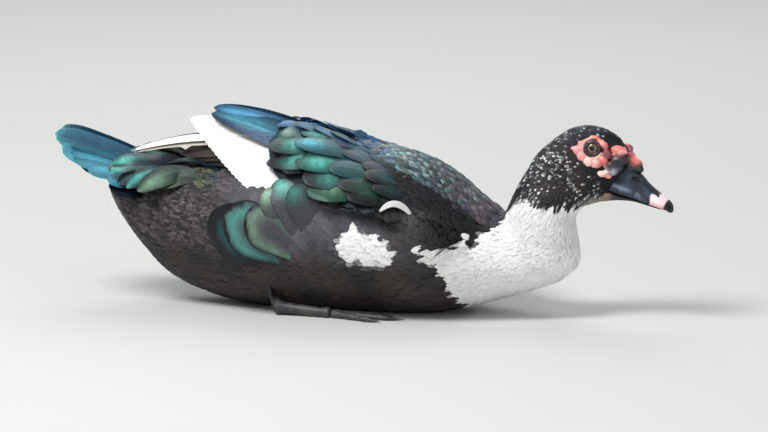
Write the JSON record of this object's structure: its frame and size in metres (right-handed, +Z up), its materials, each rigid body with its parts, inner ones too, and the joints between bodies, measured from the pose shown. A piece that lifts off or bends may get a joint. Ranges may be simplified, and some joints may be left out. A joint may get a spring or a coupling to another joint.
{
  "type": "muscovy duck",
  "caption": "Life-size still muscovy duck with raised folded wings, a lifted tail fan and a warty red face, resting on its belly with webbed feet tucked under.",
  "frame": {"origin": "middle of the small flat under the belly, on the surface that the bird rests on", "axes": "+X forward to the bill, +Y to the bird's left, +Z up"},
  "size_m": [0.648, 0.2274, 0.2002],
  "materials": {
    "plumage": "soft feather coat, blackish with a green gloss",
    "neck_plumage": "soft white feather coat",
    "head_plumage": "short black feathers flecked with white",
    "bill": "smooth horn, dark slate with a pale pink band",
    "eye": "wet amber eye",
    "caruncles": "bare warty skin, red to pink",
    "wing_feathers": "glossy green and blue vanes",
    "white_feathers": "smooth white vanes",
    "tail_feathers": "glossy blue-green vanes",
    "foot_skin": "scaled dark skin"
  },
  "bodies": {
    "root": {"torso": "plumage", "neck": "neck_plumage", "head": "head_plumage", "bill_upper": "bill", "bill_lower": "bill", "eye_right": "eye", "eye_left": "eye", "wing_right": "wing_feathers", "wing_left": "wing_feathers", "tail": "tail_feathers", "leg_right": "foot_skin", "leg_left": "foot_skin", "foot_right": "foot_skin", "foot_left": "foot_skin"}
  },
  "joints": []
}
